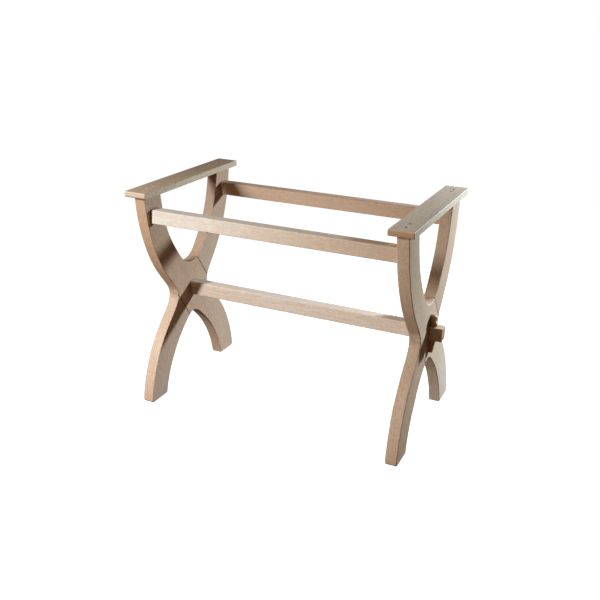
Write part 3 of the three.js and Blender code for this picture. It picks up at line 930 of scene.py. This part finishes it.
def thread_rings(segs):
    """Rings up the pointed, threaded part; the thread fades out at its top."""
    tip, top = SCREW_TOP - SCREW_LEN + 0.2, SCREW_TOP - THREAD_DEPTH
    crest = SHANK_R - 0.02 - CORE_R
    rings = []
    for z in np.arange(tip, top, THREAD_PITCH / 10):
        point = max(0.08, min(1.0, (z - tip) / THREAD_POINT))
        fade = min(1.0, (top - z) / 2.0)
        ring = []
        for k in range(segs):
            angle = 2 * math.pi * k / segs
            phase = ((z - tip) / THREAD_PITCH - angle / (2 * math.pi)) % 1.0
            rise = max(0.0, 1 - abs(phase - 0.5) / 0.22)
            radius = point * (CORE_R + crest * rise * fade)
            ring.append((radius * math.cos(angle), radius * math.sin(angle), z))
        rings.append(ring)
    return rings


def recess_arm(place):
    """Tapered cutter for one arm of the cross recess."""
    rings = [[(x * half_length, y * half_width, SCREW_TOP + z)
              for x, y in ((-1, -1), (1, -1), (1, 1), (-1, 1))]
             for half_length, half_width, z in ((0.9, 0.26, -2.0), (2.5, 0.46, 0.6))]
    return to_object("cutter", *loft(rings), place=place)


def make_screw(side, i, material):
    """Countersunk wood screw: cross recess and a rolled thread."""
    y = SCREW_Y[side][i]
    where = "front" if y < 0 else "rear"
    name = f"{SIDES[side]}_{where}_bearer_screw_{i % 2 + 1}"
    segs = 36
    rings = thread_rings(segs) + [circle(r, SCREW_TOP + z, segs) for r, z in SCREW_HEAD]
    place = move(side * TRESTLE_X, y, 0)
    obj = to_object(f"{name}_steel", *loft(rings), material, place)
    turn = spin(math.radians(17 + 41 * i + 13 * side))      # each screw stops at its own angle
    cutters = [recess_arm(place @ turn @ spin(angle)) for angle in (0, QUARTER)]
    cutters.append(lathe([(0, SCREW_TOP - 2.4), (0.3, SCREW_TOP - 2.3), (1.25, SCREW_TOP + 0.6),
                          (0, SCREW_TOP + 0.6)], 16, place))
    cut(obj, cutters)
    finish_piece(obj, replaces=name, sharp=35)


# ------------------------------------------------------------------ assembly
for side in SIDES:
    for kind in "ab":
        make_leg(kind, side)
    make_bearer(side)
    make_wedge(side)
# front rail bluer and paler towards the left end and warmer towards the right: painted light for
# its brightly lit left end
make_rail("front_upper_rail", -1, heart=(0.60, 0.30), shift=1.0, slope=0.016, ring=0.0034,
          along=[(-0.40, 0.40, (1.0, 1.09, 1.20), (1.11, 0.96, 0.84))])
make_rail("rear_upper_rail", 1, heart=(0.72, -0.10), shift=4.0, slope=-0.010, ring=0.0030,
          along=[(0.10, 0.40, (1.0, 1.0, 1.0), (0.93, 0.88, 0.84))])
make_stretcher()
# one plated steel: the left screws in the plating's colour, the right ones painted dark as shade
# in their countersinks
STEEL = {-1: steel("zinc_plated_steel", bright=(1.12, 1.06, 1.02), metallic=0.05),
         1: steel("steel_painted_in_shade", bright=(0.085, 0.052, 0.030), metallic=0.55)}
for side in SIDES:
    for i in range(4):
        make_screw(side, i, STEEL[side])

# the dowels keep their CAD meshes
dowel_wood = wood("dowel", grain=(1, 0, 0), face=(0, 0, 1), heart=(0.0, 0.0), ring=0.0026)
for name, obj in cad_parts.items():
    if "_dowel_" in name:
        obj.data.materials.clear()
        obj.data.materials.append(dowel_wood)

# ------------------------------------------------------------------ stage
FLOOR_HALF, FLOOR_Z = 40, -0.0006
FLOOR_GLOW, FLOOR_LIT = 0.80, 0.55          # own light and reflectance, as the camera sees them
FLOOR_DULL = (0.16, 0.11, 0.07)             # colour bounced onto the object
AMBIENT, AMBIENT_COLOUR = 0.05, (1.0, 0.22, 0.08)


def stage_material():
    """Pale paper: nearly white to the camera with a soft shadow, dull to the object."""
    tree = Nodes("pale_paper")
    path = tree.node("ShaderNodeLightPath")
    glow = tree.node("ShaderNodeEmission")
    glow.inputs[0].default_value = (1.0, 1.0, 1.0, 1)
    # full white away from the object, so the floor runs into the backdrop
    far = tree.vector("LENGTH", tree.node("ShaderNodeTexCoord").outputs["Object"])
    tree.put(glow.inputs[1], tree.remap(far, span=(0.75, 1.9), to=(FLOOR_GLOW, 1.0)))
    lit = tree.node("ShaderNodeBsdfDiffuse")
    lit.inputs[0].default_value = (FLOOR_LIT, FLOOR_LIT, FLOOR_LIT, 1)
    seen = tree.node("ShaderNodeAddShader")
    tree.put(seen.inputs[0], glow.outputs[0])
    tree.put(seen.inputs[1], lit.outputs[0])
    dull = tree.node("ShaderNodeBsdfDiffuse")
    dull.inputs[0].default_value = (*FLOOR_DULL, 1)
    mixed = tree.node("ShaderNodeMixShader")
    tree.put(mixed.inputs[0], path.outputs["Is Camera Ray"])
    tree.put(mixed.inputs[1], dull.outputs[0])
    tree.put(mixed.inputs[2], seen.outputs[0])
    return tree.output(mixed)


def make_floor():
    mesh = bpy.data.meshes.new("floor")
    corners = [(x * FLOOR_HALF, y * FLOOR_HALF, FLOOR_Z)
               for x, y in ((-1, -1), (1, -1), (1, 1), (-1, 1))]
    mesh.from_pydata(corners, [], [(0, 1, 2, 3)])
    floor = bpy.data.objects.new("floor", mesh)
    bpy.context.scene.collection.objects.link(floor)
    mesh.materials.append(stage_material())


def make_world():
    """White to the camera, a faint warm fill to everything else."""
    world = bpy.data.worlds.new("studio")
    bpy.context.scene.world = world
    world.use_nodes = True
    nodes, links = world.node_tree.nodes, world.node_tree.links
    nodes.clear()
    path = nodes.new("ShaderNodeLightPath")
    seen = nodes.new("ShaderNodeBackground")
    seen.inputs[0].default_value = (1, 1, 1, 1)
    seen.inputs[1].default_value = 1.0
    fill = nodes.new("ShaderNodeBackground")
    fill.inputs[0].default_value = (*AMBIENT_COLOUR, 1)
    fill.inputs[1].default_value = AMBIENT
    both = nodes.new("ShaderNodeMixShader")
    output = nodes.new("ShaderNodeOutputWorld")
    links.new(path.outputs["Is Camera Ray"], both.inputs[0])
    links.new(fill.outputs[0], both.inputs[1])
    links.new(seen.outputs[0], both.inputs[2])
    links.new(both.outputs[0], output.inputs[0])


def area(name, location, target, size, power, colour, spread):
    """Gridded soft light; size is a diameter or (width, height), spread is in degrees."""
    light = bpy.data.lights.new(name, "AREA")
    light.energy, light.color, light.spread = power, colour, math.radians(spread)
    if isinstance(size, tuple):
        light.shape, light.size, light.size_y = "RECTANGLE", size[0], size[1]
    else:
        light.shape, light.size = "DISK", size
    obj = bpy.data.objects.new(name, light)
    bpy.context.scene.collection.objects.link(obj)
    obj.location = location
    obj.rotation_mode = "QUATERNION"
    obj.rotation_quaternion = (Vector(target) - Vector(location)).to_track_quat("-Z", "Y")


def make_camera():
    camera = bpy.data.cameras.new("camera")
    obj = bpy.data.objects.new("camera", camera)
    bpy.context.scene.collection.objects.link(obj)
    # columns: camera right, up, back, place
    obj.matrix_world = Matrix((
        (0.90826577, -0.14477721, 0.39254663, 1.035443),
        (0.41800604, 0.27361735, -0.86625891, -2.175276),
        (0.01800698, 0.95088017, 0.30903502, 1.304302),
        (0, 0, 0, 1)))
    camera.sensor_fit = "AUTO"
    camera.sensor_width = 36.0
    camera.lens = 49.0417
    camera.shift_x, camera.shift_y = -0.024017, -0.09054
    camera.clip_start, camera.clip_end = 0.05, 200
    bpy.context.scene.camera = obj


make_floor()
make_world()
area("key", location=(-0.85, -1.45, 1.225), target=(-0.115, -0.466, -0.257),
     size=(0.12, 0.42), power=18.8, colour=(0.993, 1.0, 1.0), spread=104.0)
area("rim", location=(1.10, 1.20, 1.025), target=(0.120, 0.234, -0.222),
     size=0.16, power=24.3, colour=(0.748, 0.890, 1.0), spread=109.4)
make_camera()

view = bpy.context.scene.view_settings
view.view_transform = "Standard"
view.look = "None"
view.exposure, view.gamma = 0.0, 1.0
